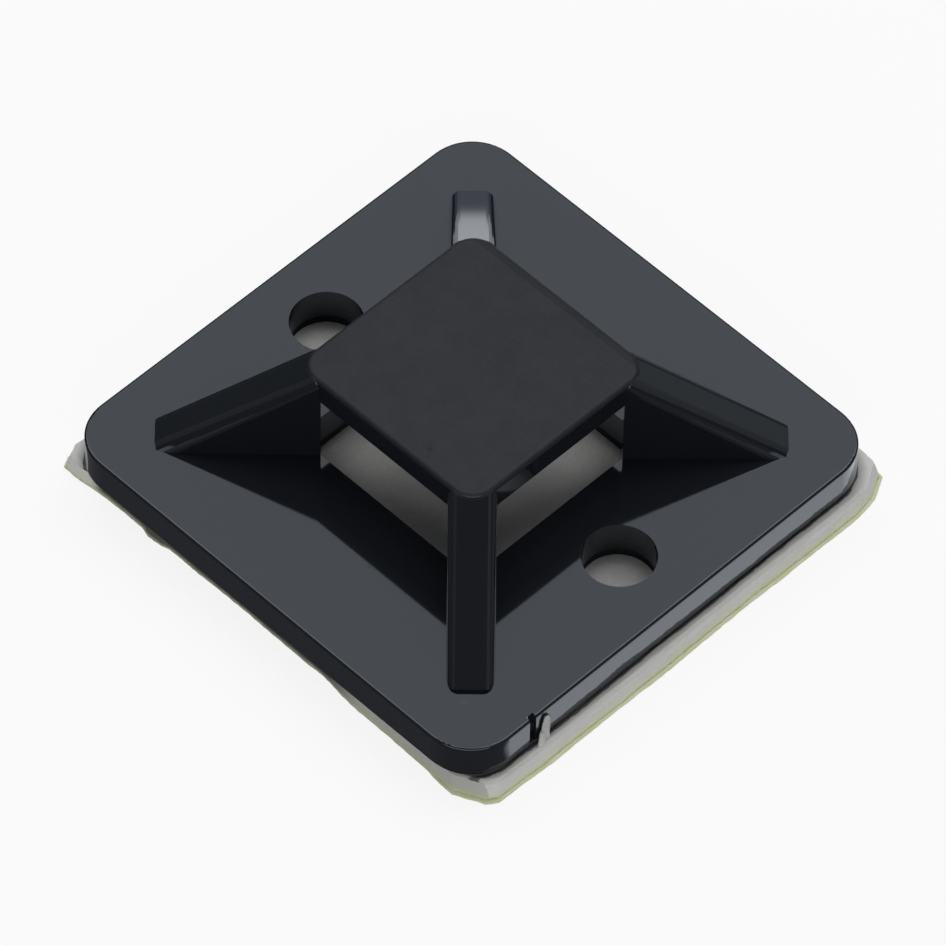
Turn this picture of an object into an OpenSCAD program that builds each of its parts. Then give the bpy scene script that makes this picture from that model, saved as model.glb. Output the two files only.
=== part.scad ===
// Self-adhesive mount for cable ties: one nylon moulding on a pad of foam
// tape whose release liner is still on. A tie threads under the raised cap,
// in either direction; two screws can hold the plate where tape is not enough.
// All sizes are in millimetres. The liner lies on the ground (z = 0), the
// plate is centred on the Z axis and the screw holes lie along X.

/* [Base plate] */

// Side of the square base plate
plate_w = 30; // [28:0.5:34]
// Thickness of the base plate
plate_t = 2.5; // [1.8:0.1:3.5]
// Radius of the plate's four corners, seen from above
corner_r = 2.8; // [1.5:0.1:3.5]
// Radius along the plate's top edge
edge_r = 0.15; // [0.1:0.05:0.5]
// Height of the relief where the plate's wall meets the tape
relief_h = 0.5; // [0.2:0.05:0.8]
// How far that relief is set in from the wall
relief_in = 0.3; // [0.1:0.05:0.5]
// Width of the gate's break mark in the plate's wall
gate_w = 0.45; // [0.3:0.05:1.5]
// Depth of the gate's break mark
gate_deep = 0.3; // [0.2:0.05:0.6]
// Distance of the gate mark from the middle of its side
gate_y = 10.5; // [6:0.5:10.5]

/* [Bridge] */

// Side of the square cap that the tie pulls against
cap_w = 12.9; // [11.9:0.1:13.5]
// Thickness of the cap
cap_t = 1.6; // [1.2:0.05:2.2]
// Clear height between the plate's top and the cap, for the tie
tie_gap = 4.45; // [4.1:0.05:5]
// Radius of the cap's corners, seen from above
cap_corner_r = 1.4; // [1:0.1:1.6]
// Radius along the cap's top edge
cap_edge_r = 0.3; // [0.1:0.05:0.4]
// Width of each of the four legs
leg_w = 2.5; // [1.8:0.1:3]
// Radius along both edges of a leg's ridge
leg_edge_r = 0.6; // [0.2:0.05:0.7]
// Distance along the diagonal from the middle to a leg's outer end
foot_reach = 16.4; // [15:0.1:17]
// Height of a leg's outer end above the plate
foot_h = 0.2; // [0.1:0.05:1.2]
// How far the cap reaches over each side of the window below it
window_lap = 0.05; // [0:0.05:0.4]

/* [Screw holes] */

// Diameter of the two screw holes
hole_d = 4; // [3:0.1:4.5]
// Distance between the middles of the two screw holes
hole_spacing = 21.5; // [20.5:0.5:22.5]

/* [Tape] */

// Thickness of the foam tape
foam_t = 1.1; // [0.8:0.1:1.6]
// Thickness of the release liner
liner_t = 0.15; // [0.1:0.05:0.3]
// How far the hand-cut tape reaches past the plate at +X
over_right = 0.8; // [0:0.1:1.2]
// How far it reaches past the plate at -X
over_left = 0.7; // [0:0.1:1.2]
// How far it reaches past the plate at +Y
over_back = 0.65; // [0:0.05:1.2]
// How far the slanting cut at -Y stays inside the plate's edge, at -X
inset_left = 0.65; // [0:0.05:1.2]
// How far the same cut stays inside the plate's edge at +X
inset_right = 0.3; // [0:0.05:0.6]
// Size of the tape's nipped corner at +X
nip = 1.2; // [0.6:0.1:1.6]

/* [Hidden] */

// Levels of the stack, from the ground up.
z_foam = liner_t;
z_plate = z_foam + foam_t;
z_top = z_plate + plate_t;
z_cap = z_top + tie_gap;
cap_top = z_cap + cap_t;

// The window follows the cap, whose underside is moulded through it.
window_w = cap_w - 2 * window_lap;

// A leg starts where its width just fills the window's corner.
leg_inner = window_w / sqrt(2) - leg_w / 2;
// Its ridge starts to slope where the cap's corner starts to round, so the
// whole round corner stands over it; its short flat stays below the cap's top.
leg_knee = max((cap_w - cap_corner_r) / sqrt(2), leg_inner + leg_edge_r / 2);
leg_sink = 0.02;

$fn = 64;

// A square with rounded corners, centred on the origin.
module round_square(w, r) {
    square([w, w - 2 * r], center = true);
    square([w - 2 * r, w], center = true);
    for (x = [-1, 1], y = [-1, 1])
        translate([x * (w / 2 - r), y * (w / 2 - r)]) circle(r);
}

// A slab on that outline whose top edge is rounded by e all round: a rod
// along each side and a quarter ring round each corner fill the edge.
module round_slab(w, r, t, e) {
    run = w - 2 * r;
    linear_extrude(t - e) round_square(w, r);
    linear_extrude(t) round_square(w - 2 * e, r - e);
    for (a = [0 : 90 : 270]) rotate(a) {
        translate([w / 2 - e, run / 2, t - e])
            rotate([90, 0, 0]) cylinder(r = e, h = run);
        translate([w / 2 - r, w / 2 - r, t - e])
            rotate_extrude(angle = 90)
                translate([r - e, 0]) circle(e, $fn = 24);
    }
}

// Side view of a leg, x along the diagonal and y up from the plate's
// underside; drop lowers its ridge and pulls in its outer end.
module leg_side(drop) {
    rise = tie_gap + cap_t - leg_sink;
    polygon([
        [leg_inner, 0],
        [foot_reach - drop, 0],
        [foot_reach - drop, plate_t + foot_h - drop],
        [leg_knee - drop * 0.3, plate_t + rise - drop],
        [leg_inner, plate_t + rise - drop]
    ]);
}

// One leg along +X: full width below, narrower where the ridge rounds over.
module leg() {
    steps = 6;
    hull() for (i = [0 : steps]) {
        a = 90 * i / steps;
        w = leg_w - 2 * leg_edge_r * (1 - cos(a));
        rotate([90, 0, 0])
            linear_extrude(w, center = true)
                leg_side(leg_edge_r * (1 - sin(a)));
    }
}

module screw_holes() {
    for (x = [-1, 1])
        translate([x * hole_spacing / 2, 0, -1])
            cylinder(d = hole_d, h = plate_t + 2);
}

// The base plate, with its window, screw holes, relief and gate mark.
module plate() {
    difference() {
        round_slab(plate_w, corner_r, plate_t, edge_r);
        translate([0, 0, -1]) linear_extrude(plate_t + 2)
            square(window_w, center = true);
        screw_holes();
        translate([0, 0, -1]) linear_extrude(relief_h + 1) difference() {
            square(plate_w + 2, center = true);
            round_square(plate_w - 2 * relief_in, corner_r - relief_in);
        }
        translate([plate_w / 2 - gate_deep, -gate_y - gate_w / 2, -1])
            cube([gate_deep + 1, gate_w, plate_t + 2]);
    }
}

module mount_body() color("#1c1d20") translate([0, 0, z_plate]) {
    plate();
    for (a = [45 : 90 : 315]) rotate(a) leg();
    translate([0, 0, plate_t + tie_gap])
        round_slab(cap_w, cap_corner_r, cap_t, cap_edge_r);
}

// Outline of the hand-cut tape: it sits slightly off the plate and its
// corners are nipped, most of all the two at +X.
module tape_outline() {
    right = plate_w / 2 + over_right;
    left = -plate_w / 2 - over_left;
    back = plate_w / 2 + over_back;
    front_left = -plate_w / 2 + inset_left;
    front_right = -plate_w / 2 + inset_right;
    polygon([
        [left + nip / 3, front_left],
        [right - nip, front_right],
        [right, front_right + nip],
        [right, back - nip],
        [right - nip, back],
        [left + nip / 2, back],
        [left, back - nip / 2],
        [left, front_left + nip / 3]
    ]);
}

module foam_pad() color("#b9bab8") translate([0, 0, z_foam])
    linear_extrude(foam_t) tape_outline();

module release_liner() color("#c8c9a0")
    linear_extrude(liner_t) tape_outline();

mount_body();
foam_pad();
release_liner();
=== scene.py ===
"""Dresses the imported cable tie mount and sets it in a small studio.

The moulding keeps its exact solid and gets a nylon finish with a different
gloss on the plate, the legs and the cap. The hand-cut foam tape and its
liner are built here with the ragged outline that scissors leave.
"""

import logging
import math
import random
from dataclasses import dataclass, field
from enum import Enum

import bpy
from mathutils import Matrix, Vector, noise


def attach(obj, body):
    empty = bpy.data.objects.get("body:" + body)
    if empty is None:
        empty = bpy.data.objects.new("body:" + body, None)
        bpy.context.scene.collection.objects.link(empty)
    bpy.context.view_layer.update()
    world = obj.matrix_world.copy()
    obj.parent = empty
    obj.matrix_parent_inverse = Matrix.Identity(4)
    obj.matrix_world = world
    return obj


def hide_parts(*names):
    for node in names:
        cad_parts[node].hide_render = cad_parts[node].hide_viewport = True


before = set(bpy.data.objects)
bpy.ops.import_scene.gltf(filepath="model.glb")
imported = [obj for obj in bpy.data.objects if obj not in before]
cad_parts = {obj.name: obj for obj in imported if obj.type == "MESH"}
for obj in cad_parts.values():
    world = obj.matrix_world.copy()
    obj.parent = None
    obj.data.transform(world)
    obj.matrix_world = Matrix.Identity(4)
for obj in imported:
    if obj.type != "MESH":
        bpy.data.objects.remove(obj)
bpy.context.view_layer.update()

LOG = logging.getLogger("cable_tie_mount")
MM = 0.001

# Sockets of a Mix node that mixes colours; their names repeat, so they are
# reached by number.
MIX_MASK, MIX_A, MIX_B, MIX_RESULT = 0, 6, 7, 2


# ---------------------------------------------------------------- node tools


class NodeSheet:
    """A thin layer over a node tree that adds and links nodes by name."""

    def __init__(self, tree: bpy.types.NodeTree) -> None:
        """Keeps the tree.

        Args:
            tree: the node tree to write in.
        """
        self.tree = tree

    def add(self, kind: str, **settings: object) -> bpy.types.Node:
        """Adds a node and sets its own properties.

        Args:
            kind: the node's type, such as ShaderNodeBump.
            settings: property names and values.

        Returns:
            The new node.
        """
        node = self.tree.nodes.new(kind)
        for name, value in settings.items():
            setattr(node, name, value)
        return node

    def feed(self, node: bpy.types.Node, **sockets: object) -> bpy.types.Node:
        """Sets or links input sockets; an underscore stands for a space.

        Args:
            node: the node whose inputs are fed.
            sockets: socket names with a value or an output socket each.

        Returns:
            The same node.
        """
        for name, value in sockets.items():
            socket = node.inputs[name.replace("_", " ")]
            if isinstance(value, bpy.types.NodeSocket):
                self.tree.links.new(value, socket)
            else:
                socket.default_value = value
        return node

    def math(self, how: str, a: object, b: object = 0.0,
             clamp: bool = False) -> bpy.types.NodeSocket:
        """Adds a Math node.

        Args:
            how: its operation.
            a: first value or output socket.
            b: second value or output socket.
            clamp: whether the result is held between 0 and 1.

        Returns:
            The result's socket.
        """
        node = self.add("ShaderNodeMath", operation=how, use_clamp=clamp)
        for slot, value in enumerate((a, b)):
            if isinstance(value, bpy.types.NodeSocket):
                self.tree.links.new(value, node.inputs[slot])
            else:
                node.inputs[slot].default_value = value
        return node.outputs[0]

    def ramp(self, value: bpy.types.NodeSocket, low: float, high: float,
             out_low: float = 0.0, out_high: float = 1.0) -> bpy.types.NodeSocket:
        """Maps a value smoothly from one range to another, clamped.

        Args:
            value: the socket to map.
            low: where the range starts.
            high: where it ends.
            out_low: result at the start.
            out_high: result at the end.

        Returns:
            The mapped value's socket.
        """
        node = self.add("ShaderNodeMapRange", interpolation_type="SMOOTHSTEP")
        self.feed(node, Value=value, From_Min=low, From_Max=high,
                  To_Min=out_low, To_Max=out_high)
        return node.outputs["Result"]

    def blend(self, mask: object, a: object, b: object) -> bpy.types.NodeSocket:
        """Mixes two colours by a mask.

        Args:
            mask: 0 gives the first colour, 1 the second.
            a: first colour or socket.
            b: second colour or socket.

        Returns:
            The mixed colour's socket.
        """
        node = self.add("ShaderNodeMix", data_type="RGBA", blend_type="MIX")
        for slot, value in ((MIX_MASK, mask), (MIX_A, a), (MIX_B, b)):
            if isinstance(value, bpy.types.NodeSocket):
                self.tree.links.new(value, node.inputs[slot])
            else:
                node.inputs[slot].default_value = value
        return node.outputs[MIX_RESULT]


def tint(colour: tuple[float, float, float]) -> tuple[float, float, float, float]:
    """Gives a colour its alpha of 1."""
    return (*colour, 1.0)


class Effect:
    """A shader node group with named sockets, shared by several finishes."""

    def __init__(self, name: str, inputs: dict[str, float],
                 outputs: tuple[str, ...]) -> None:
        """Makes the empty group.

        Args:
            name: the group's name.
            inputs: names and first values of its value inputs.
            outputs: names of its value outputs.
        """
        self.group = bpy.data.node_groups.new(name, "ShaderNodeTree")
        face = self.group.interface
        face.new_socket(name="Vector", in_out="INPUT",
                        socket_type="NodeSocketVector")
        for label, value in inputs.items():
            socket = face.new_socket(name=label, in_out="INPUT",
                                     socket_type="NodeSocketFloat")
            socket.default_value = value
        for label in outputs:
            face.new_socket(name=label, in_out="OUTPUT",
                            socket_type="NodeSocketFloat")
        self.sheet = NodeSheet(self.group)
        self.given = self.sheet.add("NodeGroupInput").outputs
        self.result = self.sheet.add("NodeGroupOutput").inputs

    def give(self, name: str, value: bpy.types.NodeSocket) -> None:
        """Links a socket to one of the group's outputs."""
        self.group.links.new(value, self.result[name])

    def place(self, sheet: NodeSheet, vector: bpy.types.NodeSocket,
              **values: float) -> bpy.types.Node:
        """Puts the group into a material.

        Args:
            sheet: the material's node sheet.
            vector: the coordinates that it reads.
            values: its value inputs for this material.

        Returns:
            The group's node.
        """
        node = sheet.add("ShaderNodeGroup", node_tree=self.group)
        sheet.feed(node, Vector=vector, **values)
        return node


def texture_grain() -> Effect:
    """Builds the fine spark-eroded grain of a mould's wall.

    Returns:
        An effect with the outputs Height and Shade.
    """
    effect = Effect("mould_grain", {"Scale": 6000.0, "Detail": 4.0},
                    ("Height", "Shade"))
    sheet = effect.sheet
    fine = sheet.feed(sheet.add("ShaderNodeTexNoise"),
                      Vector=effect.given["Vector"],
                      Scale=effect.given["Scale"],
                      Detail=effect.given["Detail"], Roughness=0.62)
    coarse_scale = sheet.math("MULTIPLY", effect.given["Scale"], 0.21)
    coarse = sheet.feed(sheet.add("ShaderNodeTexNoise"),
                        Vector=effect.given["Vector"], Scale=coarse_scale,
                        Detail=3.0, Roughness=0.5)
    both = sheet.math("ADD", sheet.math("MULTIPLY", fine.outputs["Fac"], 0.7),
                      sheet.math("MULTIPLY", coarse.outputs["Fac"], 0.3))
    effect.give("Height", both)
    effect.give("Shade", sheet.ramp(both, 0.35, 0.65))
    return effect


def lint_specks() -> Effect:
    """Builds sparse specks of dust and short bits of lint.

    Returns:
        An effect with the output Mask.
    """
    effect = Effect("lint_specks", {"Scale": 500.0, "Amount": 0.1}, ("Mask",))
    sheet = effect.sheet
    dots = sheet.feed(sheet.add("ShaderNodeTexVoronoi", feature="F1"),
                      Vector=effect.given["Vector"],
                      Scale=effect.given["Scale"], Randomness=1.0)
    near = sheet.ramp(dots.outputs["Distance"], 0.03, 0.1, 1.0, 0.0)
    pick = sheet.add("ShaderNodeSeparateColor")
    sheet.feed(pick, Color=dots.outputs["Color"])
    limit = sheet.math("SUBTRACT", 1.0, effect.given["Amount"])
    rare = sheet.math("GREATER_THAN", pick.outputs[0], limit)
    effect.give("Mask", sheet.math("MULTIPLY", near, rare))
    return effect


def uneven_tone() -> Effect:
    """Builds the slow change of tone that handling and flow leave.

    Returns:
        An effect with the output Tone.
    """
    effect = Effect("uneven_tone", {"Scale": 120.0}, ("Tone",))
    sheet = effect.sheet
    cloud = sheet.feed(sheet.add("ShaderNodeTexNoise"),
                       Vector=effect.given["Vector"],
                       Scale=effect.given["Scale"], Detail=3.0, Roughness=0.55)
    effect.give("Tone", sheet.ramp(cloud.outputs["Fac"], 0.3, 0.7))
    return effect


def rounded_square() -> Effect:
    """Measures how far a point lies beyond a square with round corners.

    Returns:
        An effect with the output Beyond, negative inside the square.
    """
    effect = Effect("rounded_square", {"Half": 0.015, "Corner": 0.003},
                    ("Beyond",))
    sheet = effect.sheet
    spot = sheet.feed(sheet.add("ShaderNodeSeparateXYZ"),
                      Vector=effect.given["Vector"])
    core = sheet.math("SUBTRACT", effect.given["Half"],
                      effect.given["Corner"])
    past = []
    for axis in "XY":
        off = sheet.math("SUBTRACT", sheet.math(
            "ABSOLUTE", spot.outputs[axis]), core)
        past.append(sheet.math("MAXIMUM", off, 0.0))
    squares = sheet.math("ADD", sheet.math("MULTIPLY", past[0], past[0]),
                         sheet.math("MULTIPLY", past[1], past[1]))
    effect.give("Beyond", sheet.math("SUBTRACT", sheet.math("SQRT", squares),
                                     effect.given["Corner"]))
    return effect


@dataclass
class Effects:
    """The effects that the finishes share, each built once."""

    grain: Effect = field(default_factory=texture_grain)
    lint: Effect = field(default_factory=lint_specks)
    tone: Effect = field(default_factory=uneven_tone)
    square: Effect = field(default_factory=rounded_square)


def blank_material(name: str) -> tuple[bpy.types.Material, NodeSheet,
                                       bpy.types.Node, bpy.types.NodeSocket]:
    """Makes a material with a Principled shader and object coordinates.

    Args:
        name: the material's name.

    Returns:
        The material, its node sheet, the shader and the coordinates' socket.
    """
    material = bpy.data.materials.new(name)
    material.use_nodes = True
    sheet = NodeSheet(material.node_tree)
    shader = material.node_tree.nodes["Principled BSDF"]
    place = sheet.add("ShaderNodeTexCoord").outputs["Object"]
    return material, sheet, shader, place


# ------------------------------------------------------------------ finishes


@dataclass(frozen=True)
class BlackNylon:
    """Black polyamide: polished on the plate, finely grained on the cap."""

    colour: tuple[float, float, float] = (0.0110, 0.0114, 0.0124)
    worn: tuple[float, float, float] = (0.026, 0.027, 0.029)
    sheen: tuple[float, float, float, float] = (0.81, 0.89, 1.0, 1.0)
    plate_gloss: float = 0.05
    leg_gloss: float = 0.11
    cap_gloss: float = 0.54
    layer_index: float = 1.36
    cap_level: float = 8.15 * MM
    cap_half: float = 6.46 * MM
    cap_corner: float = 1.40 * MM
    plate_level: float = 3.80 * MM
    seat_level: float = 1.76 * MM
    seat_gloss: float = 0.70
    roll_start: float = 5.85 * MM
    roll_slope: float = 0.20
    cap_facing: tuple[float, float] = (0.30, 0.75)
    grain_scale: float = 5200.0
    tone_scale: float = 160.0
    cloud_scale: float = 620.0
    lint_scale: float = 420.0
    lint_amount: float = 0.07
    tone_gloss: float = 0.02
    lint_gloss: float = 0.3
    lint_pale: float = 0.5
    grain_pale: float = 0.26
    cloud_pale: float = 0.20
    plate_grain: float = 0.04
    grain_strength: float = 0.35
    grain_depth: float = 0.04 * MM

    def build(self, effects: Effects) -> bpy.types.Material:
        """Makes the material.

        Args:
            effects: the shared effects.

        Returns:
            The finished material.
        """
        material, sheet, shader, place = blank_material("black_nylon")
        spot = sheet.feed(sheet.add("ShaderNodeSeparateXYZ"), Vector=place)
        height = spot.outputs["Z"]
        facing = sheet.feed(sheet.add("ShaderNodeSeparateXYZ"),
                            Vector=sheet.add("ShaderNodeNewGeometry")
                            .outputs["Normal"]).outputs["Z"]
        beyond = effects.square.place(sheet, place, Half=self.cap_half,
                                      Corner=self.cap_corner)
        on_cap = sheet.math("MULTIPLY", sheet.ramp(facing, *self.cap_facing),
                            sheet.math("LESS_THAN", beyond.outputs[0], 0.0))
        on_cap = sheet.math("MULTIPLY", on_cap, sheet.math(
            "GREATER_THAN", height, self.cap_level))
        above = sheet.math("GREATER_THAN", height, self.plate_level)
        seat = sheet.math("LESS_THAN", height, self.seat_level)

        grain = effects.grain.place(sheet, place, Scale=self.grain_scale)
        tone = effects.tone.place(sheet, place,
                                  Scale=self.tone_scale).outputs["Tone"]
        lint = effects.lint.place(sheet, place, Scale=self.lint_scale,
                                  Amount=self.lint_amount)

        gloss = sheet.math("ADD", self.plate_gloss, sheet.math(
            "MULTIPLY", above, self.leg_gloss - self.plate_gloss))
        gloss = sheet.math("ADD", gloss, sheet.math(
            "MULTIPLY", on_cap, self.cap_gloss - self.leg_gloss))
        gloss = sheet.math("MAXIMUM", gloss, sheet.math(
            "MULTIPLY", seat, self.seat_gloss))
        gloss = sheet.math("ADD", gloss, sheet.math(
            "MULTIPLY", tone, self.tone_gloss))
        gloss = sheet.math("ADD", gloss, sheet.math(
            "MULTIPLY", lint.outputs["Mask"], self.lint_gloss), clamp=True)

        speck = sheet.math("MULTIPLY", lint.outputs["Mask"], self.lint_pale)
        cloud = effects.tone.place(sheet, place,
                                   Scale=self.cloud_scale).outputs["Tone"]
        shade = sheet.math("ADD", sheet.math(
            "MULTIPLY", grain.outputs["Shade"], self.grain_pale), sheet.math(
            "MULTIPLY", sheet.math("ADD", cloud, tone), self.cloud_pale))
        shade = sheet.math("MULTIPLY", shade, on_cap)
        pale = sheet.math("MAXIMUM", speck, shade)
        colour = sheet.blend(pale, tint(self.colour), tint(self.worn))

        rise = sheet.math("MULTIPLY", grain.outputs["Height"], sheet.math(
            "ADD", self.plate_grain, sheet.math(
                "MULTIPLY", on_cap, 1 - self.plate_grain)))
        past = sheet.math("MAXIMUM", sheet.math(
            "SUBTRACT", spot.outputs["Y"], self.roll_start), 0.0)
        fall = sheet.math("MULTIPLY", sheet.math(
            "MULTIPLY", past, -self.roll_slope), on_cap)
        roll = sheet.feed(sheet.add("ShaderNodeBump"), Strength=1.0,
                          Distance=1.0, Height=fall)
        bump = sheet.feed(sheet.add("ShaderNodeBump"),
                          Strength=self.grain_strength,
                          Distance=self.grain_depth, Height=rise,
                          Normal=roll.outputs["Normal"])
        skin = sheet.math("SUBTRACT", sheet.math("SUBTRACT", 1.0, on_cap),
                          seat, clamp=True)
        sheet.feed(shader, Base_Color=colour, Roughness=gloss,
                   IOR=self.layer_index, Specular_Tint=self.sheen,
                   Normal=bump.outputs["Normal"], Coat_Weight=skin,
                   Coat_IOR=self.layer_index, Coat_Tint=self.sheen,
                   Coat_Roughness=self.plate_gloss)
        return material


@dataclass(frozen=True)
class TapeFoam:
    """Closed-cell polyethylene foam, pale grey, open-celled where it is cut."""

    colour: tuple[float, float, float] = (0.86, 0.86, 0.84)
    pit: tuple[float, float, float] = (0.66, 0.66, 0.64)
    handled: tuple[float, float, float] = (0.58, 0.58, 0.555)
    glue: tuple[float, float, float] = (0.68, 0.70, 0.46)
    # Colour of the grime and the painted shade along the plate's wall and on the
    # cut at -Y.
    grime_and_shade: tuple[float, float, float] = (0.045, 0.045, 0.043)
    glue_low: float = 0.25 * MM
    glue_high: float = 0.80 * MM
    wall: float = 14.86 * MM
    wall_corner: float = 2.66 * MM
    wall_width: float = 0.17 * MM
    # How far out from the wall the painted shade fades.
    wall_shade_reach: float = 0.80 * MM
    skin: float = 1.12 * MM
    # Painted shade under the plate's overhang, with some soiling, on the cut side
    # at -Y.
    soil_and_shade_side: float = -13.8 * MM
    soil_and_shade_low: float = 0.10 * MM
    soil_and_shade_high: float = 0.42 * MM
    soil_and_shade_from: float = 3.5 * MM
    soil_and_shade_to: float = 7.0 * MM
    soil_and_shade_left: tuple[float, float] = (-13.6 * MM, -12.6 * MM)
    soil_and_shade_share: float = 0.9
    soil_and_shade_right_share: float = 0.30
    cell_scale: float = 9500.0
    pore_scale: float = 4200.0
    tone_scale: float = 700.0
    cell_share: float = 0.6
    pit_share: float = 0.55
    handled_share: float = 0.75
    glue_share: float = 0.75
    wander_scale: float = 950.0
    drift_scale: float = 170.0
    # Strengths of the dark band at the wall, part grime and part painted shade,
    # and of the painted shade beside it.
    line_share: float = 0.92
    wall_shade_share: float = 0.50
    cell_strength: float = 0.35
    cell_depth: float = 0.05 * MM
    roughness: tuple[float, float] = (0.72, 0.16)
    scatter: float = 0.12
    scatter_radius: tuple[float, float, float] = (0.4, 0.4, 0.35)
    scatter_scale: float = 0.6 * MM

    def build(self, effects: Effects) -> bpy.types.Material:
        """Makes the material.

        Args:
            effects: the shared effects.

        Returns:
            The finished material.
        """
        material, sheet, shader, place = blank_material("tape_foam")
        cells = sheet.feed(sheet.add("ShaderNodeTexVoronoi", feature="F1"),
                           Vector=place, Scale=self.cell_scale)
        big = sheet.feed(sheet.add("ShaderNodeTexVoronoi",
                                   feature="SMOOTH_F1"),
                         Vector=place, Scale=self.pore_scale)
        depth = sheet.math("ADD", sheet.math(
            "MULTIPLY", cells.outputs["Distance"], self.cell_share),
            sheet.math("MULTIPLY", big.outputs["Distance"], self.cell_share))
        tone = effects.tone.place(sheet, place,
                                  Scale=self.tone_scale).outputs["Tone"]
        pits = sheet.math("MULTIPLY", sheet.ramp(depth, 0.25, 0.75),
                          self.pit_share)
        pits = sheet.math("MULTIPLY", pits, sheet.math(
            "ADD", self.pit_share, sheet.math(
                "MULTIPLY", tone, 1 - self.pit_share)))
        grey = sheet.blend(pits, tint(self.colour), tint(self.pit))
        outside = effects.square.place(sheet, place, Half=self.wall,
                                       Corner=self.wall_corner).outputs[0]
        grey = sheet.blend(
            sheet.ramp(outside, -1 * MM, 0.0, 0.0, self.handled_share),
            grey, tint(self.handled))
        spot = sheet.feed(sheet.add("ShaderNodeSeparateXYZ"),
                          Vector=place).outputs
        low = sheet.ramp(spot["Z"], self.glue_low, self.glue_high,
                         self.glue_share, 0.0)
        colour = sheet.blend(low, grey, tint(self.glue))
        # Grime and painted shade along the wall and on the cut at -Y darken the
        # foam.
        colour = sheet.blend(self.dirt_and_shade_line(sheet, effects, place, outside),
                             colour, tint(self.grime_and_shade))
        bump = sheet.feed(sheet.add("ShaderNodeBump", invert=True),
                          Strength=self.cell_strength,
                          Distance=self.cell_depth, Height=depth)
        smoothest, spread = self.roughness
        sheet.feed(shader, Base_Color=colour, IOR=1.45,
                   Normal=bump.outputs["Normal"],
                   Roughness=sheet.math("ADD", smoothest, sheet.math(
                       "MULTIPLY", tone, spread)),
                   Subsurface_Weight=self.scatter,
                   Subsurface_Radius=self.scatter_radius,
                   Subsurface_Scale=self.scatter_scale)
        return material

    def dirt_and_shade_line(self, sheet: NodeSheet, effects: Effects,
                  place: bpy.types.NodeSocket,
                  beyond: bpy.types.NodeSocket) -> bpy.types.NodeSocket:
        """Marks grime and painted shade along the plate's wall and on the cut at
        -Y.

        Args:
            sheet: the material's node sheet.
            effects: the shared effects.
            place: the object coordinates.
            beyond: the distance outside the plate's seat.

        Returns:
            The mask of the grime and the painted shade.
        """
        spot = sheet.feed(sheet.add("ShaderNodeSeparateXYZ"),
                          Vector=place).outputs
        wander = effects.tone.place(sheet, place,
                                    Scale=self.wander_scale).outputs["Tone"]
        drift = effects.tone.place(sheet, place,
                                   Scale=self.drift_scale).outputs["Tone"]
        shift = sheet.math("MULTIPLY", sheet.math("ADD", wander, drift),
                           0.55 * self.wall_width)
        off = sheet.math("ABSOLUTE", sheet.math("SUBTRACT", beyond, shift))
        # A wandering dark band at the wall: part grime, part painted shade in the
        # gap under the wall.
        line = sheet.ramp(off, self.wall_width * 0.55, self.wall_width * 1.1,
                          self.line_share, 0.0)
        # Painted shade that fades outwards from the wall.
        wall_shade = sheet.ramp(beyond, 0.0, self.wall_shade_reach, self.wall_shade_share, 0.0)
        line = sheet.math("MAXIMUM", line, wall_shade)
        line = sheet.math("MULTIPLY", line, sheet.math(
            "GREATER_THAN", spot["Z"], self.skin))
        # Painted shade under the plate's overhang on the cut at -Y, with some
        # soiling: darker towards the top, weaker from x 3.5 mm rightwards, fading
        # out at the far left end.
        soil_and_shade = sheet.math("MULTIPLY", sheet.math(
            "LESS_THAN", spot["Y"], self.soil_and_shade_side), sheet.ramp(
            spot["Z"], self.soil_and_shade_low, self.soil_and_shade_high, 0.0,
            self.soil_and_shade_share))
        soil_and_shade = sheet.math("MULTIPLY", soil_and_shade, sheet.ramp(
            spot["X"], self.soil_and_shade_from, self.soil_and_shade_to, 1.0,
            self.soil_and_shade_right_share))
        soil_and_shade = sheet.math("MULTIPLY", soil_and_shade, sheet.ramp(
            spot["X"], *self.soil_and_shade_left))
        return sheet.math("MAXIMUM", line, soil_and_shade)


@dataclass(frozen=True)
class WaxedLiner:
    """Yellow-green siliconed paper."""

    colour: tuple[float, float, float] = (0.63, 0.65, 0.38)
    faded: tuple[float, float, float] = (0.70, 0.71, 0.52)
    tone_scale: float = 900.0
    grain_scale: float = 3000.0
    grain_detail: float = 2.0
    grain_strength: float = 0.2
    grain_depth: float = 0.02 * MM
    roughness: tuple[float, float] = (0.32, 0.12)

    def build(self, effects: Effects) -> bpy.types.Material:
        """Makes the material.

        Args:
            effects: the shared effects.

        Returns:
            The finished material.
        """
        material, sheet, shader, place = blank_material("waxed_liner")
        tone = effects.tone.place(sheet, place,
                                  Scale=self.tone_scale).outputs["Tone"]
        grain = effects.grain.place(sheet, place, Scale=self.grain_scale,
                                    Detail=self.grain_detail)
        bump = sheet.feed(sheet.add("ShaderNodeBump"),
                          Strength=self.grain_strength,
                          Distance=self.grain_depth,
                          Height=grain.outputs["Height"])
        smoothest, spread = self.roughness
        sheet.feed(shader, IOR=1.45, Normal=bump.outputs["Normal"],
                   Base_Color=sheet.blend(tone, tint(self.colour),
                                          tint(self.faded)),
                   Roughness=sheet.math("ADD", smoothest, sheet.math(
                       "MULTIPLY", tone, spread)))
        return material


# -------------------------------------------------------------------- pieces


@dataclass
class Moulding:
    """The one-piece nylon body, shown as the exact solid it is."""

    node: str = "mount_body"
    finish: BlackNylon = field(default_factory=BlackNylon)

    def dress(self, effects: Effects) -> bpy.types.Object:
        """Gives the solid its finish.

        Args:
            effects: the shared effects.

        Returns:
            The dressed object.
        """
        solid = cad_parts[self.node]
        material = self.finish.build(effects)
        for slot in solid.material_slots:
            slot.material = material
        LOG.info("moulding: %d faces dressed", len(solid.data.polygons))
        return solid


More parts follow.
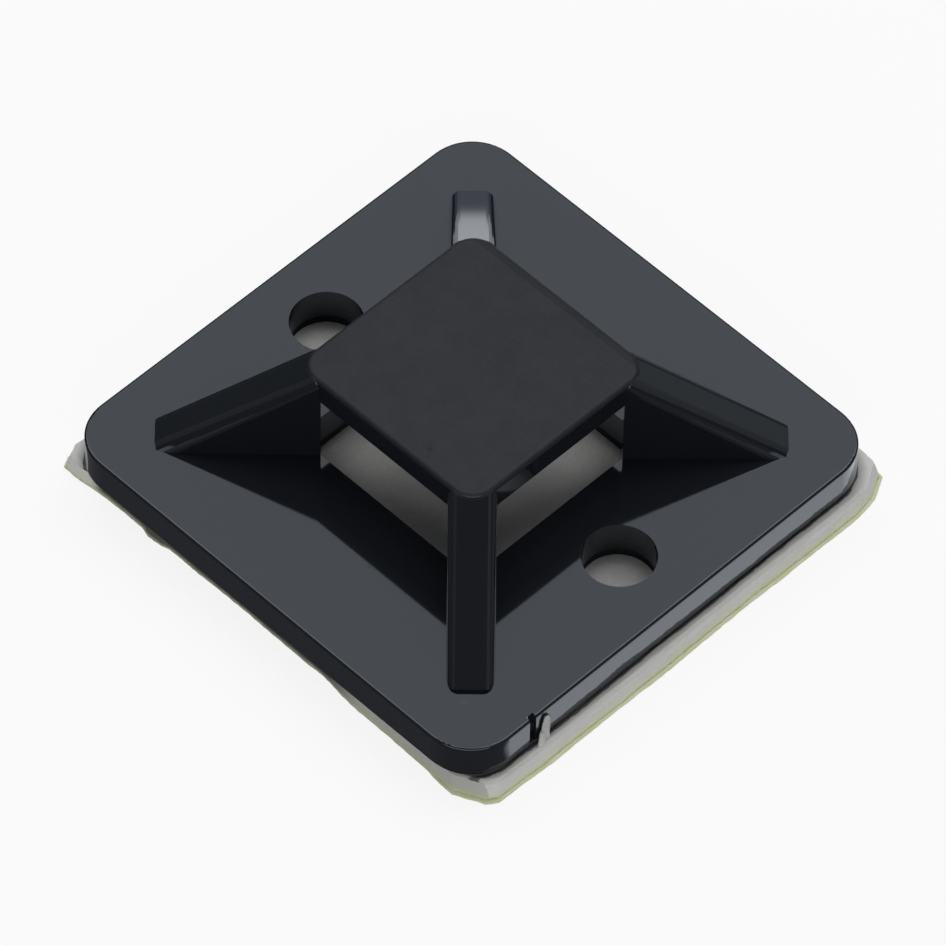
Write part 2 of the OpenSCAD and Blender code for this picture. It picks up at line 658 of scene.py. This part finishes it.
@dataclass
class CutOutline:
    """The outline that scissors left round the tape, in millimetres.

    The corners are where the scissors turned. Between them the edge wavers,
    by noise that depends only on the seed and the place.
    """

    corners: tuple[tuple[float, float], ...] = (
        (-15.45, -14.72), (-14.6, -14.78), (-13.6, -14.66), (-12.4, -14.54),
        (-9.6, -14.56), (-9.1, -14.70), (-8.2, -14.66), (-7.7, -14.52),
        (-2.0, -14.50), (3.6, -14.53), (6.0, -14.76), (9.0, -14.82),
        (11.6, -14.87), (13.6, -14.86), (15.25, -14.10), (15.42, -13.86),
        (15.66, -13.50), (15.74, -11.0), (15.80, -3.0), (15.72, 4.0),
        (15.78, 11.0), (15.74, 13.2), (15.60, 14.25), (14.80, 15.58),
        (13.9, 15.62), (6.0, 15.56), (-4.0, 15.62), (-14.6, 15.58),
        (-15.5, 15.2), (-15.68, 14.2), (-15.62, 4.0), (-15.66, -6.0),
        (-15.60, -13.0), (-15.72, -14.1),
    )
    step: float = 0.22
    seed: int = 11
    slow_wave: float = 0.065
    quick_wave: float = 0.034
    slow_pace: float = 0.45
    quick_pace: float = 3.1
    slow_drift: float = 0.35
    quick_drift: float = 1.7

    def points(self, layer: float = 0.0) -> list[Vector]:
        """Walks the outline in short steps.

        Args:
            layer: moves the walk through the noise, so that each level of
                the cut differs a little from the next.

        Returns:
            The outline's points in order, in millimetres.
        """
        walk: list[Vector] = []
        ring = [Vector((x, y, 0.0)) for x, y in self.corners]
        for here, there in zip(ring, ring[1:] + ring[:1]):
            count = max(1, round((there - here).length / self.step))
            along = (there - here).normalized()
            out = Vector((along.y, -along.x, 0.0))
            for k in range(count):
                spot = here.lerp(there, k / count)
                shift = self.slow_wave * noise.noise(
                    spot * self.slow_pace
                    + Vector((self.seed, 0, layer * self.slow_drift)))
                shift += self.quick_wave * noise.noise(
                    spot * self.quick_pace
                    + Vector((0, self.seed, layer * self.quick_drift)))
                walk.append(spot + out * shift)
        return walk


def solid_from_rings(name: str, rings: list[list[Vector]],
                     close: tuple[Vector, Vector]) -> bpy.types.Object:
    """Joins rings of equal length into one closed skin.

    Args:
        name: the object's name.
        rings: the rings from the underside's middle, round the edge, to
            the upper side's middle, in metres.
        close: the middle points of the underside and the upper side.

    Returns:
        The new object, linked to the scene.
    """
    size = len(rings[0])
    spots = [tuple(p) for ring in rings for p in ring]
    first, last = len(spots), len(spots) + 1
    spots += [tuple(close[0]), tuple(close[1])]
    faces: list[tuple[int, ...]] = []
    for k in range(len(rings) - 1):
        low, high = k * size, (k + 1) * size
        for j in range(size):
            n = (j + 1) % size
            faces.append((low + j, low + n, high + n, high + j))
    top = (len(rings) - 1) * size
    for j in range(size):
        n = (j + 1) % size
        faces.append((first, n, j))
        faces.append((last, top + j, top + n))
    mesh = bpy.data.meshes.new(name)
    mesh.from_pydata(spots, [], faces)
    mesh.validate()
    mesh.shade_smooth()
    piece = bpy.data.objects.new(name, mesh)
    bpy.context.scene.collection.objects.link(piece)
    return piece


def smooth(value: float, low: float, high: float) -> float:
    """Rises smoothly from 0 at low to 1 at high."""
    t = min(1.0, max(0.0, (value - low) / (high - low)))
    return t * t * (3 - 2 * t)


@dataclass
class Tape:
    """The foam tape: squeezed flat under the plate, proud where it is free."""

    outline: CutOutline = field(default_factory=CutOutline)
    finish: TapeFoam = field(default_factory=TapeFoam)
    lower: float = 0.15
    upper: float = 1.25
    cut_low: float = 0.16
    cut_high: float = 0.40
    middle: tuple[float, float] = (0.05, 0.45)
    reach: float = 15.7
    plate_half: float = 14.72
    plate_corner: float = 2.5
    bulge: float = 0.25
    bulge_width: float = 0.32
    window_half: float = 6.4
    leg_inner: float = 7.6
    hole_at: float = 10.75
    hole_r: float = 2.0
    proud: float = 0.09
    window_rise: tuple[float, float] = (0.05, 1.2)
    hole_rise: tuple[float, float] = (0.05, 0.9)
    bulge_start: float = 0.02
    ripple_pace: float = 0.9
    wave_pace: float = 0.28
    seat_gap: float = 0.004
    side_levels: int = 9
    side_curve: float = 1.4
    layer_step: float = 0.8
    tear: float = 0.03
    rim_first: float = 0.10
    rim_step: float = 0.09
    rim_rings: int = 12
    inner_step: float = 0.26
    last_share: float = 0.985

    def shrink(self, spot: Vector, inset: float) -> Vector:
        """Pulls a point towards the tape's middle.

        Args:
            spot: the point, in millimetres.
            inset: how far its side moves in.

        Returns:
            The moved point.
        """
        scale = 1 - inset / self.reach
        x, y = self.middle
        return Vector((x + (spot.x - x) * scale, y + (spot.y - y) * scale, 0))

    def swell(self, spot: Vector) -> float:
        """Tells how far the free foam stands above the plate's underside.

        Args:
            spot: a point on the upper face, in millimetres.

        Returns:
            The height, in millimetres.
        """
        window = self.window_half - max(abs(spot.x), abs(spot.y))
        legs = self.leg_inner - (abs(spot.x) + abs(spot.y)) / math.sqrt(2)
        free = smooth(min(window, legs), *self.window_rise)
        for side in (-1, 1):
            gap = self.hole_r - math.hypot(spot.x - side * self.hole_at, spot.y)
            free = max(free, smooth(gap, *self.hole_rise))
        ripple = 0.5 + 0.5 * noise.noise(
            spot * self.ripple_pace + Vector((3, 5, 8)))
        core = self.plate_half - self.plate_corner
        past = math.hypot(max(abs(spot.x) - core, 0.0),
                          max(abs(spot.y) - core, 0.0)) - self.plate_corner
        wave = 0.5 + 0.9 * noise.noise(
            spot * self.wave_pace + Vector((7, 1, 2)))
        squeezed = self.bulge * smooth(
            past, self.bulge_start, self.bulge_width) * (
            0.45 + 0.40 * min(1.0, max(0.0, wave)) + 0.15 * ripple)
        return max(self.proud * free * (0.6 + 0.4 * ripple), squeezed)

    def side_rings(self) -> list[list[Vector]]:
        """Builds the cut side, from the liner up to the plate.

        Returns:
            Rings in metres, the lowest first.
        """
        rings = []
        for k in range(self.side_levels):
            t = k / (self.side_levels - 1)
            inset = self.cut_low + (
                self.cut_high - self.cut_low) * t ** self.side_curve
            z = self.lower + (self.upper - self.lower) * t
            ring = []
            for spot in self.outline.points(layer=k * self.layer_step):
                tear = self.tear * noise.noise(Vector((
                    spot.x * 5, spot.y * 5, z * 6)))
                at = self.shrink(spot, inset + tear)
                lift = self.swell(at) * t - (self.seat_gap if t == 1 else 0)
                ring.append(Vector((at.x, at.y, z + lift)) * MM)
            rings.append(ring)
        return rings

    def upper_rings(self) -> list[list[Vector]]:
        """Builds the upper face as rings that close in on the middle.

        Returns:
            Rings in metres, the widest first.
        """
        edge = self.outline.points(
            layer=(self.side_levels - 1) * self.layer_step)
        rings = []
        insets = [self.cut_high + self.rim_first + self.rim_step * k
                  for k in range(self.rim_rings)]
        while insets[-1] < self.reach:
            insets.append(insets[-1] + self.inner_step)
        for inset in insets:
            ring = []
            for spot in edge:
                at = self.shrink(spot, min(inset,
                                           self.reach * self.last_share))
                z = self.upper - self.seat_gap + self.swell(at)
                ring.append(Vector((at.x, at.y, z)) * MM)
            rings.append(ring)
        return rings

    def build(self, effects: Effects) -> bpy.types.Object:
        """Makes the tape and dresses it.

        Args:
            effects: the shared effects.

        Returns:
            The tape's object.
        """
        rings = self.side_rings() + self.upper_rings()
        x, y = self.middle
        close = (Vector((x, y, self.lower)) * MM,
                 Vector((x, y, self.upper + self.proud * 0.8)) * MM)
        piece = solid_from_rings("foam_tape", rings, close)
        piece.data.materials.append(self.finish.build(effects))
        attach(piece, "root")
        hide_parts("foam_pad")
        LOG.info("tape: %d faces", len(piece.data.polygons))
        return piece


@dataclass(frozen=True)
class ScrapForm:
    """The shape of one torn scrap, in millimetres."""

    name: str
    seed: int
    spine: tuple[tuple[float, float, float], ...]
    widths: tuple[float, ...]


class Scrap(Enum):
    """The two scraps of foam that stand beside the gate's mark."""

    TALL = ScrapForm(
        name="foam_shred", seed=5,
        spine=((15.20, -9.66, 1.30), (15.17, -9.68, 1.80),
               (15.13, -9.70, 2.20), (15.11, -9.66, 2.55),
               (15.10, -9.62, 2.85), (15.09, -9.64, 3.12),
               (15.10, -9.68, 3.26)),
        widths=(0.50, 0.46, 0.62, 0.56, 0.60, 0.46, 0.18))
    LOW = ScrapForm(
        name="foam_crumb", seed=9,
        spine=((15.32, -10.06, 1.20), (15.26, -10.08, 1.55),
               (15.20, -10.04, 1.90), (15.17, -10.02, 2.18),
               (15.16, -10.02, 2.30)),
        widths=(0.66, 0.56, 0.48, 0.36, 0.14))


@dataclass
class Shred:
    """A torn scrap of the tape that sticks to the plate's wall."""

    form: ScrapForm
    finish: bpy.types.Material
    thick: float = 0.16
    around: int = 18
    rough: float = 0.20
    jitter: float = 0.05

    def build(self) -> bpy.types.Object:
        """Makes the scrap.

        Returns:
            The scrap's object.
        """
        form = self.form
        draw = random.Random(form.seed)
        rings = []
        for (x, y, z), wide in zip(form.spine, form.widths):
            ring = []
            for j in range(self.around):
                a = 2 * math.pi * j / self.around
                rough = 1 + draw.uniform(-self.rough, self.rough)
                ring.append(Vector((
                    x + self.thick / 2 * math.cos(a) * rough,
                    y + wide / 2 * math.sin(a) * rough,
                    z + draw.uniform(-self.jitter, self.jitter))) * MM)
            rings.append(ring)
        ends = (Vector(form.spine[0]) * MM, Vector(form.spine[-1]) * MM)
        piece = solid_from_rings(form.name, rings, ends)
        piece.data.materials.append(self.finish)
        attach(piece, "root")
        LOG.info("%s: %d faces", form.name, len(piece.data.polygons))
        return piece


@dataclass
class Liner:
    """The thin release liner, cut together with the tape."""

    outline: CutOutline = field(default_factory=CutOutline)
    finish: WaxedLiner = field(default_factory=WaxedLiner)
    lower: float = 0.0
    upper: float = 0.15
    middle: tuple[float, float] = (0.05, 0.45)
    reach: float = 15.7
    flat: float = 8.0
    edge: float = 0.04
    edge_in: float = 0.03
    seat_gap: float = 0.005
    front_pull: float = 0.20
    front_end: float = 13.0
    front_line: float = -13.9

    def build(self, effects: Effects) -> bpy.types.Object:
        """Makes the liner and dresses it.

        Args:
            effects: the shared effects.

        Returns:
            The liner's object.
        """
        x, y = self.middle
        rim = [Vector((p.x, p.y + self.front_pull * smooth(
            self.front_end - p.x, 0, 2) * smooth(
            self.front_line - p.y, 0, 0.3), 0))
               for p in self.outline.points(layer=-1.0)]
        seat = self.upper - self.seat_gap
        rings = []
        for inset, z in ((self.flat, self.lower), (self.edge_in, self.lower),
                         (0.0, self.lower + self.edge),
                         (0.0, self.upper - self.edge),
                         (self.edge_in, seat), (self.flat, seat)):
            scale = 1 - inset / self.reach
            rings.append([Vector((x + (p.x - x) * scale,
                                  y + (p.y - y) * scale, z)) * MM
                          for p in rim])
        close = (Vector((x, y, self.lower)) * MM, Vector((x, y, seat)) * MM)
        piece = solid_from_rings("liner_sheet", rings, close)
        piece.data.materials.append(self.finish.build(effects))
        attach(piece, "root")
        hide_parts("release_liner")
        LOG.info("liner: %d faces", len(piece.data.polygons))
        return piece


# -------------------------------------------------------------------- studio


@dataclass(frozen=True)
class Lamp:
    """A soft panel of light, placed by its direction from the mount."""

    name: str
    azimuth: float
    height: float
    distance: float
    width: float
    depth: float
    radiance: float

    def build(self, aim: Vector, ahead: float) -> bpy.types.Object:
        """Hangs the panel.

        Args:
            aim: the point that it faces.
            ahead: the camera's heading, in degrees; the azimuth counts
                clockwise from it.

        Returns:
            The lamp's object.
        """
        panel = bpy.data.lights.new(self.name, "AREA")
        panel.shape = "RECTANGLE"
        panel.size = self.width
        panel.size_y = self.depth
        area = self.width * self.depth
        panel.energy = self.radiance * math.pi * area
        turn = math.radians(ahead - self.azimuth)
        rise = math.radians(self.height)
        towards = Vector((math.cos(turn) * math.cos(rise),
                          math.sin(turn) * math.cos(rise), math.sin(rise)))
        lamp = bpy.data.objects.new(self.name, panel)
        lamp.location = aim + towards * self.distance
        lamp.rotation_euler = towards.to_track_quat("Z", "Y").to_euler()
        bpy.context.scene.collection.objects.link(lamp)
        LOG.info("lamp %s: %.2f W", self.name, panel.energy)
        return lamp


@dataclass
class Studio:
    """The floor, the world, the lamps and the camera."""

    azimuth: float = 44.26
    elevation: float = 51.90
    roll: float = 1.195
    distance: float = 0.480
    lens: float = 352.8
    sensor: float = 36.0
    plate_top: float = 3.75 * MM
    aim_right: float = 0.07 * MM
    aim_up: float = -1.84 * MM
    table_half: float = 1.5
    table_drop: float = 0.01 * MM
    table_colour: tuple[float, float, float] = (0.8, 0.8, 0.8)
    # Black ground of the table for glossy rays, under its painted reflection.
    table_mirrored: tuple[float, float, float] = (0.01, 0.01, 0.01)
    table_white: float = 0.86
    room_colour: tuple[float, float, float] = (0.9, 0.95, 1.0)
    room_dim: float = 0.08
    lamps: tuple[Lamp, ...] = (
        Lamp("back_panel", azimuth=2.0, height=60.0, distance=0.50,
             width=0.50, depth=0.34, radiance=1.24),
        Lamp("left_sky", azimuth=-50.0, height=62.0, distance=0.50,
             width=0.24, depth=0.40, radiance=2.0),
        Lamp("right_sky", azimuth=53.0, height=62.0, distance=0.50,
             width=0.24, depth=0.40, radiance=2.5),
        Lamp("back_glow", azimuth=4.0, height=21.0, distance=0.50,
             width=0.34, depth=0.11, radiance=0.50),
        Lamp("front_panel", azimuth=180.0, height=25.0, distance=0.50,
             width=0.70, depth=0.36, radiance=1.6),
        Lamp("right_wrap", azimuth=101.0, height=30.0, distance=0.50,
             width=0.62, depth=0.26, radiance=0.22),
        Lamp("left_wrap", azimuth=-101.0, height=30.0, distance=0.50,
             width=0.62, depth=0.26, radiance=0.13),
        Lamp("right_glow", azimuth=49.0, height=17.0, distance=0.50,
             width=0.26, depth=0.16, radiance=0.22),
    )

    def camera_axes(self) -> tuple[Vector, Vector, Vector]:
        """Works out the camera's right, up and back directions.

        Returns:
            Three unit vectors.
        """
        a, e = math.radians(self.azimuth), math.radians(self.elevation)
        back = Vector((math.sin(a) * math.cos(e), -math.cos(a) * math.cos(e),
                       math.sin(e)))
        right = Vector((math.cos(a), math.sin(a), 0))
        up = back.cross(right)
        r = math.radians(self.roll)
        return (right * math.cos(r) + up * math.sin(r),
                up * math.cos(r) - right * math.sin(r), back)

    def build_camera(self) -> None:
        """Sets the camera up and makes it the scene's."""
        right, up, back = self.camera_axes()
        centre = Vector((0, 0, self.plate_top))
        eye = centre + back * self.distance
        aim = centre + right * self.aim_right + up * self.aim_up
        back = (eye - aim).normalized()
        right = (right - back * right.dot(back)).normalized()
        up = back.cross(right)
        lens = bpy.data.cameras.new("studio_camera")
        lens.lens = self.lens
        lens.sensor_width = self.sensor
        lens.clip_start = 0.01
        camera = bpy.data.objects.new("studio_camera", lens)
        turn = Matrix((right, up, back)).transposed().to_4x4()
        camera.matrix_world = Matrix.Translation(eye) @ turn
        bpy.context.scene.collection.objects.link(camera)
        bpy.context.scene.camera = camera

    def build_floor(self) -> bpy.types.Object:
        """Lays the pale table, white to the camera but for its shadow.

        Returns:
            The floor's object.
        """
        half = self.table_half
        mesh = bpy.data.meshes.new("table_top")
        mesh.from_pydata([(-half, -half, 0), (half, -half, 0),
                          (half, half, 0), (-half, half, 0)], [],
                         [(0, 1, 2, 3)])
        floor = bpy.data.objects.new("table_top", mesh)
        floor.location.z = -self.table_drop
        bpy.context.scene.collection.objects.link(floor)
        material = bpy.data.materials.new("white_table")
        material.use_nodes = True
        tree = material.node_tree
        tree.nodes.clear()
        sheet = NodeSheet(tree)
        matte = sheet.feed(sheet.add("ShaderNodeBsdfDiffuse"),
                           Color=tint(self.table_colour))
        rays = sheet.add("ShaderNodeLightPath").outputs
        glow = sheet.feed(sheet.add("ShaderNodeEmission"), Color=(1, 1, 1, 1),
                          Strength=1.0)
        # To glossy rays the table shows a painted reflection: glowing zones over
        # a black ground.
        painted_reflection = self.painted_reflection_zones(sheet)
        seen = sheet.math(
            "ADD",
            sheet.math("MULTIPLY", rays["Is Camera Ray"], self.table_white),
            sheet.math("MULTIPLY", rays["Is Glossy Ray"], painted_reflection), clamp=True)
        # The black ground on which the painted reflection glows for glossy rays.
        black = sheet.feed(sheet.add("ShaderNodeBsdfDiffuse"),
                           Color=tint(self.table_mirrored))
        base = sheet.add("ShaderNodeMixShader")
        tree.links.new(rays["Is Glossy Ray"], base.inputs[0])
        tree.links.new(matte.outputs[0], base.inputs[1])
        tree.links.new(black.outputs[0], base.inputs[2])
        mix = sheet.add("ShaderNodeMixShader")
        tree.links.new(seen, mix.inputs[0])
        tree.links.new(base.outputs[0], mix.inputs[1])
        tree.links.new(glow.outputs[0], mix.inputs[2])
        out = sheet.add("ShaderNodeOutputMaterial")
        tree.links.new(mix.outputs[0], out.inputs["Surface"])
        mesh.materials.append(material)
        return floor

    def painted_reflection_zones(self, sheet: NodeSheet) -> bpy.types.NodeSocket:
        """Paints the table's glow that the glossy nylon shows, a painted
        reflection.

        It glows bright beside the +X wall and far behind the mount, dim close
        behind it, and darkest at its left and front, a painted shadow of the
        mount.

        Args:
            sheet: the table material's node sheet.

        Returns:
            The brightness socket.
        """
        place = sheet.add("ShaderNodeTexCoord").outputs["Object"]
        spot = sheet.feed(sheet.add("ShaderNodeSeparateXYZ"),
                          Vector=place).outputs
        a = math.radians(self.azimuth)
        ahead = sheet.math(
            "ADD", sheet.math("MULTIPLY", spot["X"], -math.sin(a)),
            sheet.math("MULTIPLY", spot["Y"], math.cos(a)))
        across = sheet.math(
            "ADD", sheet.math("MULTIPLY", spot["X"], math.cos(a)),
            sheet.math("MULTIPLY", spot["Y"], math.sin(a)))
        slant = sheet.math("DIVIDE", across,
                           sheet.math("MAXIMUM", ahead, 0.5 * MM))
        wide = sheet.math("ABSOLUTE", slant)
        behind = sheet.math(
            "MULTIPLY", sheet.ramp(ahead, 18 * MM, 22 * MM),
            sheet.ramp(slant, -0.34, -0.24))
        # A dim glow round the mount and in front of it, a painted shadow of the
        # mount, a little brighter behind it.
        near = sheet.math("ADD", sheet.ramp(
            ahead, 10 * MM, 18 * MM, 0.080, 0.02), sheet.math(
            "MULTIPLY", behind, 0.14))
        flank = sheet.math("MULTIPLY", sheet.ramp(wide, 0.07, 0.13),
                           sheet.ramp(wide, 0.22, 0.32, 1.0, 0.0))
        near = sheet.math("ADD", near, sheet.math("MULTIPLY", sheet.math(
            "MULTIPLY", flank, behind), 0.24))
        # Painted reflection of lit table far behind the mount.
        far = sheet.math(
            "MULTIPLY", sheet.ramp(wide, 0.25, 0.40, 0.90, 0.0),
            sheet.ramp(ahead, 29.6 * MM, 32.2 * MM))
        # Painted reflection of lit table beside the +X wall.
        beside = sheet.math(
            "MULTIPLY", sheet.ramp(spot["Y"], -11.8 * MM, -10.6 * MM, 0.0, 1.0),
            sheet.ramp(ahead, 3.0 * MM, 9.0 * MM, 1.0, 0.0))
        beside = sheet.math("MULTIPLY", beside, sheet.ramp(
            spot["X"], 16.72 * MM, 17.2 * MM, 1.0, 0.15))
        return sheet.math("MAXIMUM", near, sheet.math("MAXIMUM", far, beside))

    def build_world(self) -> None:
        """Makes the room: white to the camera, dim to everything else."""
        world = bpy.data.worlds.new("studio_room")
        world.use_nodes = True
        tree = world.node_tree
        tree.nodes.clear()
        sheet = NodeSheet(tree)
        dim = sheet.feed(sheet.add("ShaderNodeBackground"),
                         Color=tint(self.room_colour),
                         Strength=self.room_dim)
        white = sheet.feed(sheet.add("ShaderNodeBackground"),
                           Color=(1, 1, 1, 1), Strength=1.0)
        seen = sheet.add("ShaderNodeLightPath").outputs["Is Camera Ray"]
        mix = sheet.add("ShaderNodeMixShader")
        tree.links.new(seen, mix.inputs[0])
        tree.links.new(dim.outputs[0], mix.inputs[1])
        tree.links.new(white.outputs[0], mix.inputs[2])
        out = sheet.add("ShaderNodeOutputWorld")
        tree.links.new(mix.outputs[0], out.inputs["Surface"])
        bpy.context.scene.world = world

    def build(self) -> None:
        """Builds the whole studio."""
        self.build_camera()
        self.build_floor()
        self.build_world()
        aim = Vector((0, 0, self.plate_top))
        for lamp in self.lamps:
            lamp.build(aim, ahead=90.0 + self.azimuth)
        bpy.context.scene.view_settings.view_transform = "Standard"
        LOG.info("studio: %d lamps", len(self.lamps))


def main() -> None:
    """Builds every piece in order and reports it."""
    logging.basicConfig(level=logging.INFO, format="%(name)s %(message)s")
    Studio().build()
    effects = Effects()
    Moulding().dress(effects)
    tape = Tape().build(effects)
    foam = tape.data.materials[0]
    for scrap in Scrap:
        Shred(form=scrap.value, finish=foam).build()
    Liner().build(effects)


if __name__ == "__main__":
    main()
